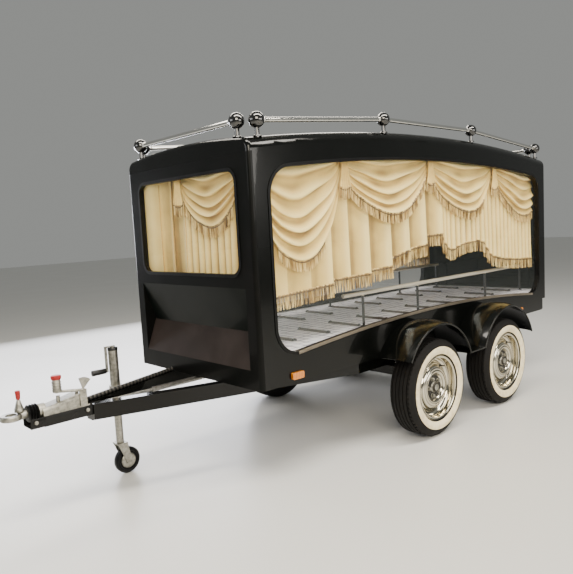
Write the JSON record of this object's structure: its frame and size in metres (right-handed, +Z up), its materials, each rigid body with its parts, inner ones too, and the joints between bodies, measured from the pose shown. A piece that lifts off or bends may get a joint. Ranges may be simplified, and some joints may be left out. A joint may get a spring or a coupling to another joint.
{
  "type": "funeral trailer",
  "caption": "Glazed funeral trailer with an arched coach body, curtained windows, roller deck, roof gallery, overrun coupling and jockey wheel, for carrying a coffin behind a slow vehicle.",
  "frame": {"origin": "on the ground, under the middle of the whole trailer's length and width", "axes": "+X forwards to the towing eye, +Y to the left, +Z up"},
  "size_m": [4.426, 1.698, 2.0403],
  "materials": {
    "body_black": "gloss",
    "chassis_black": "satin",
    "chrome": "polished",
    "zinc": "zinc plated",
    "steel_grey": "satin",
    "deck_sheet": "embossed",
    "tyre": "matt",
    "rubber": "matt",
    "glass": "clear",
    "curtain": "satin weave",
    "gloss_black": "gloss",
    "amber_lens": "gloss",
    "red_lens": "gloss"
  },
  "bodies": {
    "trailer": {"chassis_side_rails": "body_black", "chassis_cross_members": "chassis_black", "drawbar_frame": "body_black", "coupling_housing": "zinc", "towing_eye": "zinc", "coupling_gaiter": "rubber", "handbrake_lever": "zinc", "brake_rod": "steel_grey", "cable_conduit": "rubber", "mudguards": "body_black", "deck": "deck_sheet", "deck_rollers": "rubber", "bier_rails": "chrome", "side_walls": "body_black", "front_panel": "body_black", "rear_portal": "body_black", "roof": "body_black", "window_glass": "glass", "window_seals": "rubber", "curtains": "curtain", "roof_rail_posts": "gloss_black", "roof_rail_tubes": "chrome", "side_marker_lamps": "amber_lens", "tail_lamps": "red_lens", "rear_bumper": "body_black", "jockey_tube": "chassis_black", "jockey_crank": "zinc", "axle_front": "chassis_black", "axle_rear": "chassis_black"},
    "wheel_front_left": {"tyre_front_left": "tyre", "wheel_front_left": "chrome"},
    "wheel_front_right": {"tyre_front_right": "tyre", "wheel_front_right": "chrome"},
    "wheel_rear_left": {"tyre_rear_left": "tyre", "wheel_rear_left": "chrome"},
    "wheel_rear_right": {"tyre_rear_right": "tyre", "wheel_rear_right": "chrome"},
    "rear_door": {"rear_door": "body_black", "door_glass": "glass", "door_seal": "rubber", "door_curtain": "curtain", "door_handle": "chrome"},
    "jockey_leg": {"jockey_leg": "zinc"},
    "jockey_fork": {"jockey_fork": "zinc"},
    "jockey_wheel": {"jockey_wheel": "rubber"}
  },
  "joints": [
    {"name": "wheel_front_left_spin", "type": "hinge", "parent": "trailer", "child": "wheel_front_left", "pos_m": [-0.14, 0.735, 0.31], "axis": [0, 1, 0], "continuous": true},
    {"name": "wheel_front_right_spin", "type": "hinge", "parent": "trailer", "child": "wheel_front_right", "pos_m": [-0.14, -0.735, 0.31], "axis": [0, 1, 0], "continuous": true},
    {"name": "wheel_rear_left_spin", "type": "hinge", "parent": "trailer", "child": "wheel_rear_left", "pos_m": [-1.025, 0.735, 0.31], "axis": [0, 1, 0], "continuous": true},
    {"name": "wheel_rear_right_spin", "type": "hinge", "parent": "trailer", "child": "wheel_rear_right", "pos_m": [-1.025, -0.735, 0.31], "axis": [0, 1, 0], "continuous": true},
    {"name": "rear_door_hinge", "type": "hinge", "parent": "trailer", "child": "rear_door", "pos_m": [-2.18, 0.537, 1.214], "axis": [0, 0, -1], "range_deg": [0, 110]},
    {"name": "jockey_slide", "type": "slide", "parent": "trailer", "child": "jockey_leg", "axis": [0, 0, 1], "range_m": [0, 0.18]},
    {"name": "jockey_castor", "type": "hinge", "parent": "jockey_leg", "child": "jockey_fork", "pos_m": [1.51, -0.245, 0.19], "axis": [0, 0, 1], "continuous": true},
    {"name": "jockey_wheel_spin", "type": "hinge", "parent": "jockey_fork", "child": "jockey_wheel", "pos_m": [1.476, -0.245, 0.076], "axis": [0, 1, 0], "continuous": true}
  ]
}
